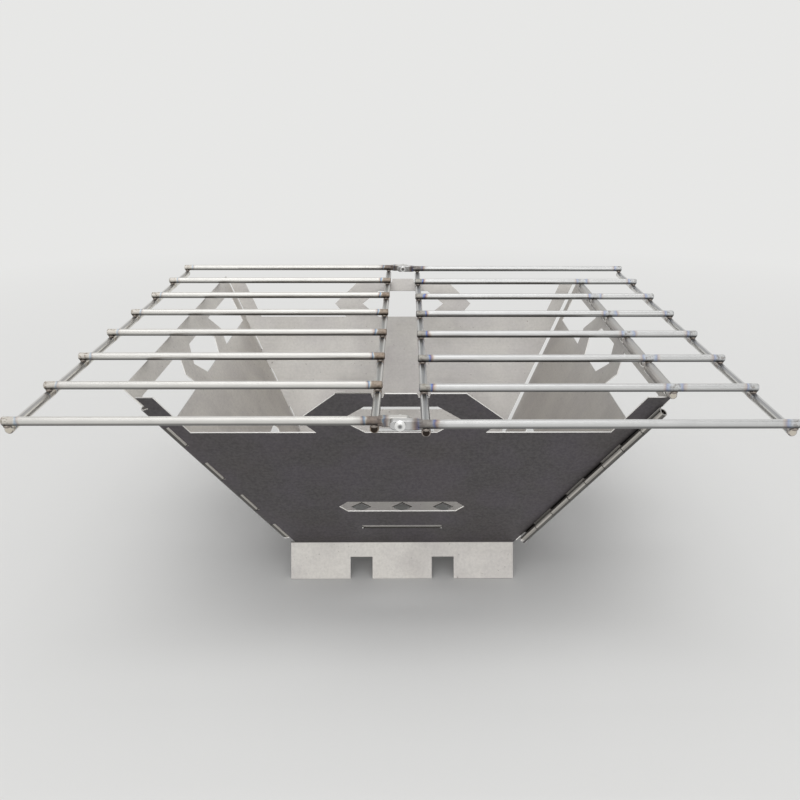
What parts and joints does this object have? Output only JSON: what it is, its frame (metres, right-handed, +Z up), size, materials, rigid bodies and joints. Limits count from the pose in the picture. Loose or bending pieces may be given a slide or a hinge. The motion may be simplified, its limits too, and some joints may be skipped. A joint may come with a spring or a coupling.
{
  "type": "portable_wood_grill",
  "caption": "Fold-flat wood fired grill in bare sheet metal: leaning panels pinned at the corners, lift-out ember floor and a hinged two-leaf rod grate",
  "frame": {"origin": "on the ground under the middle of the open grate", "axes": "+Z up, -Y towards the front panel, +X towards the right panel, which carries the grate"},
  "size_m": [0.403, 0.4116, 0.1697],
  "materials": {
    "outer": "brushed",
    "pin": "satin",
    "floor": "brushed",
    "left_rods": "satin, heat tinted at the welds",
    "right_rods": "satin, heat tinted at the welds",
    "rivets": "polished"
  },
  "bodies": {
    "box": {"front_panel": "outer", "left_panel": "outer", "front_left_pin": "pin", "front_right_pin": "pin"},
    "back_gate": {"back_panel": "outer", "back_left_pin": "pin"},
    "right_gate": {"right_panel": "outer"},
    "ember_floor": {"floor_plate": "floor"},
    "right_leaf": {"right_leaf_cross_rod_1": "right_rods", "right_leaf_cross_rod_2": "right_rods", "right_leaf_cross_rod_3": "right_rods", "right_leaf_cross_rod_4": "right_rods", "right_leaf_cross_rod_5": "right_rods", "right_leaf_cross_rod_6": "right_rods", "right_leaf_cross_rod_7": "right_rods", "right_leaf_cross_rod_8": "right_rods", "right_leaf_inner_rod": "right_rods", "right_leaf_outer_rod": "right_rods", "right_leaf_middle_rod": "right_rods", "front_rivet": "rivets", "back_rivet": "rivets"},
    "left_leaf": {"left_leaf_cross_rod_1": "left_rods", "left_leaf_cross_rod_2": "left_rods", "left_leaf_cross_rod_3": "left_rods", "left_leaf_cross_rod_4": "left_rods", "left_leaf_cross_rod_5": "left_rods", "left_leaf_cross_rod_6": "left_rods", "left_leaf_cross_rod_7": "left_rods", "left_leaf_cross_rod_8": "left_rods", "left_leaf_inner_rod": "left_rods", "left_leaf_outer_rod": "left_rods"}
  },
  "joints": [
    {"name": "grate_lift", "type": "hinge", "parent": "right_gate", "child": "right_leaf", "pos_m": [0.15435, 0, 0.16167], "axis": [0, 1, 0], "range_deg": [0, 95]},
    {"name": "grate_fold", "type": "hinge", "parent": "right_leaf", "child": "left_leaf", "pos_m": [0, 0, 0.16677], "axis": [0, 1, 0], "range_deg": [0, 180]},
    {"name": "right_swing", "type": "hinge", "parent": "box", "child": "right_gate", "pos_m": [0.08182, -0.06383, 0.02375], "axis": [-0.4434, 0.4434, -0.779], "range_deg": [0, 18]},
    {"name": "back_swing", "type": "hinge", "parent": "box", "child": "back_gate", "pos_m": [-0.08182, 0.09982, 0.02375], "axis": [-0.4434, 0.4434, 0.779], "range_deg": [0, 18]},
    {"name": "floor_lift", "type": "slide", "parent": "box", "child": "ember_floor", "axis": [0, 0, 1], "range_m": [0, 0.112]}
  ],
  "couplings": [
    {"joint": "right_swing", "follows": "grate_lift", "ratio": 0.18}
  ]
}
